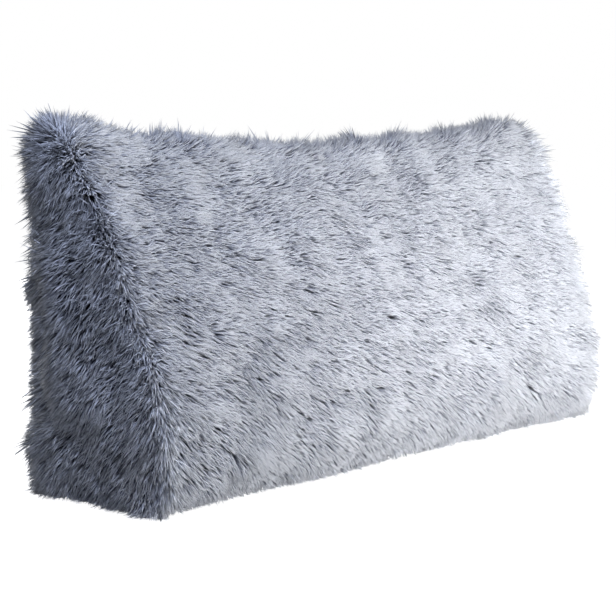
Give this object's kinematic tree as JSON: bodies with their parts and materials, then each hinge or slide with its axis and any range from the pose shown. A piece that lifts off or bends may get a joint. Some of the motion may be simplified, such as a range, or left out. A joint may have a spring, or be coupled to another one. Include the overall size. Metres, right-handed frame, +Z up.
{
  "type": "backrest pillow",
  "caption": "Long wedge-shaped backrest pillow in long-haired plush, with a sloping front to lean on, an upright back, a sagging ridge and a flat base.",
  "frame": {"origin": "on the surface that the pillow stands on, below the middle of its overall box", "axes": "+X along the length, to the right as seen from the sloping front; the slope faces -Y and the upright back faces +Y; +Z up"},
  "size_m": [1.025, 0.29, 0.5],
  "materials": {
    "plush": "long-haired plush in cool grey, matt at the roots with silky lighter tips"
  },
  "bodies": {
    "root": {"pillow": "plush"}
  },
  "joints": []
}
